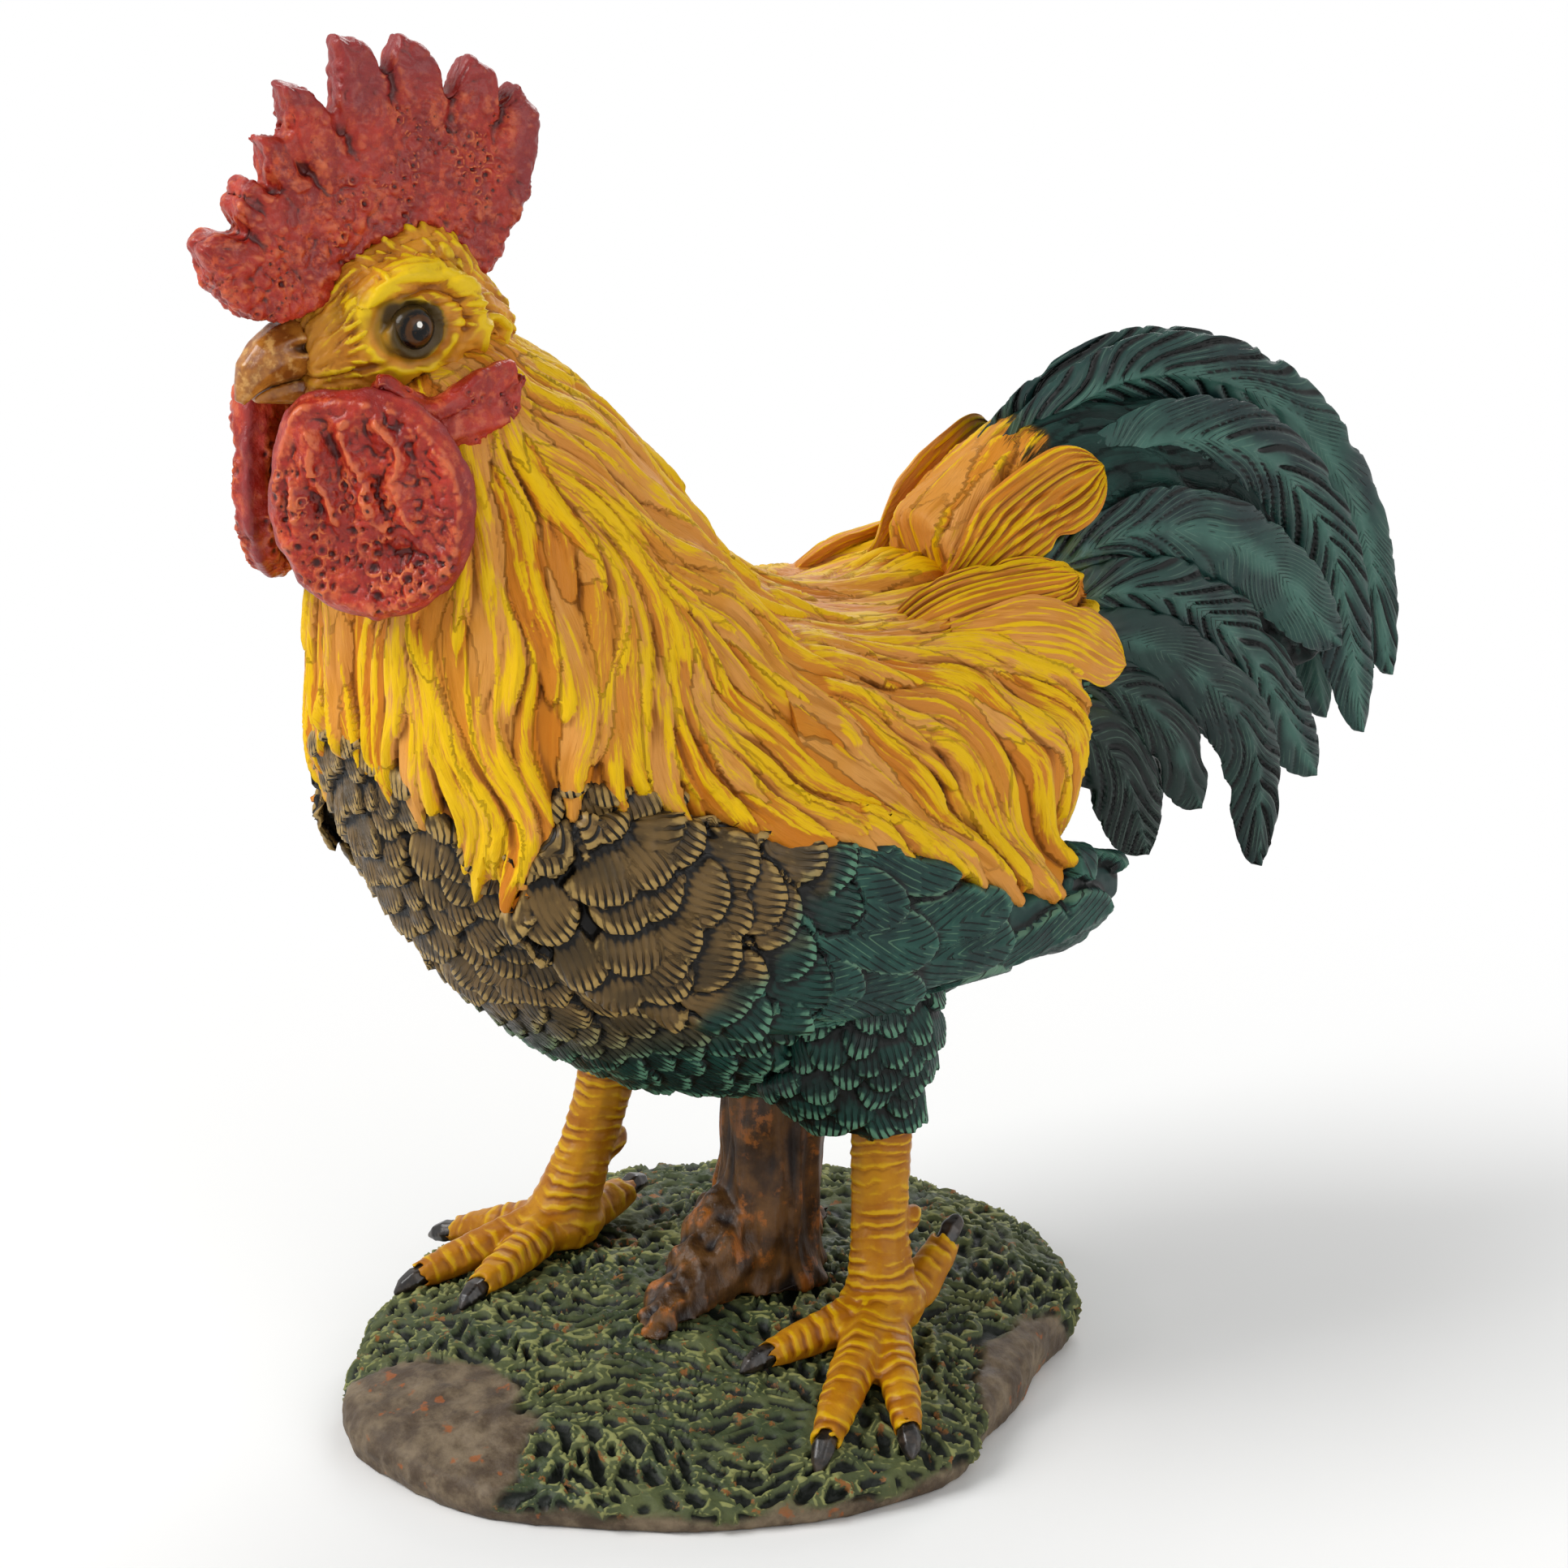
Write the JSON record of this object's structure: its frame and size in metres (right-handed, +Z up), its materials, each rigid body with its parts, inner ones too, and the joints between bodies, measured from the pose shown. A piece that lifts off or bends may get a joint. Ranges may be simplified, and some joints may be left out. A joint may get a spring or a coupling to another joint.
{
  "type": "rooster garden sculpture",
  "caption": "Painted cast rooster standing on a mossy mound with a tree stump under its belly; a free-standing garden ornament.",
  "frame": {"origin": "under the middle of the whole figure's box, on the ground plane that the mound stands on", "axes": "+Z is up, the bird faces -Y, and its left side is +X"},
  "size_m": [0.19, 0.3562, 0.3505],
  "materials": {
    "moss": "cast resin painted moss green and grey, dry-brushed light green on the ridges",
    "bark": "cast resin painted brown bark with ochre patches",
    "shank": "cast resin painted orange yellow, satin",
    "steel": "bare steel armature rod",
    "green_feather": "cast resin painted dark blue green, satin",
    "breast_feather": "cast resin painted brown with black scallops",
    "wing_feather": "cast resin painted brown and dark green",
    "hackle": "cast resin painted amber, dry-brushed yellow on the ridges",
    "face": "cast resin painted amber and yellow",
    "comb_red": "cast resin painted red, pitted, satin",
    "beak": "cast resin painted horn brown, glossy",
    "eye": "painted dark brown and varnished",
    "claw": "painted black, glossy",
    "tail_feather": "cast resin painted dark blue green, dusted lighter on the ridges"
  },
  "bodies": {
    "root": {"body_core": "breast_feather", "comb": "comb_red", "ground_base": "moss", "head": "face", "left_back_claw": "claw", "left_covert_1": "tail_feather", "left_covert_2": "tail_feather", "left_earlobe": "comb_red", "left_eye": "eye", "left_inner_claw": "claw", "left_leg": "shank", "left_leg_rod": "steel", "left_middle_claw": "claw", "left_outer_claw": "claw", "left_plume_1": "hackle", "left_plume_2": "hackle", "left_plume_3": "hackle", "left_sickle_1": "tail_feather", "left_sickle_2": "tail_feather", "left_sickle_3": "tail_feather", "left_sickle_4": "tail_feather", "left_sickle_5": "tail_feather", "left_thigh": "green_feather", "left_wattle": "comb_red", "left_wing": "wing_feather", "lower_beak": "beak", "neck_cape": "hackle", "right_back_claw": "claw", "right_covert_1": "tail_feather", "right_covert_2": "tail_feather", "right_earlobe": "comb_red", "right_eye": "eye", "right_inner_claw": "claw", "right_leg": "shank", "right_leg_rod": "steel", "right_middle_claw": "claw", "right_outer_claw": "claw", "right_plume_1": "hackle", "right_plume_2": "hackle", "right_plume_3": "hackle", "right_sickle_1": "tail_feather", "right_sickle_2": "tail_feather", "right_sickle_3": "tail_feather", "right_sickle_4": "tail_feather", "right_sickle_5": "tail_feather", "right_thigh": "green_feather", "right_wattle": "comb_red", "right_wing": "wing_feather", "saddle_cape": "hackle", "tail_core": "green_feather", "tree_stump": "bark", "upper_beak": "beak"}
  },
  "joints": []
}
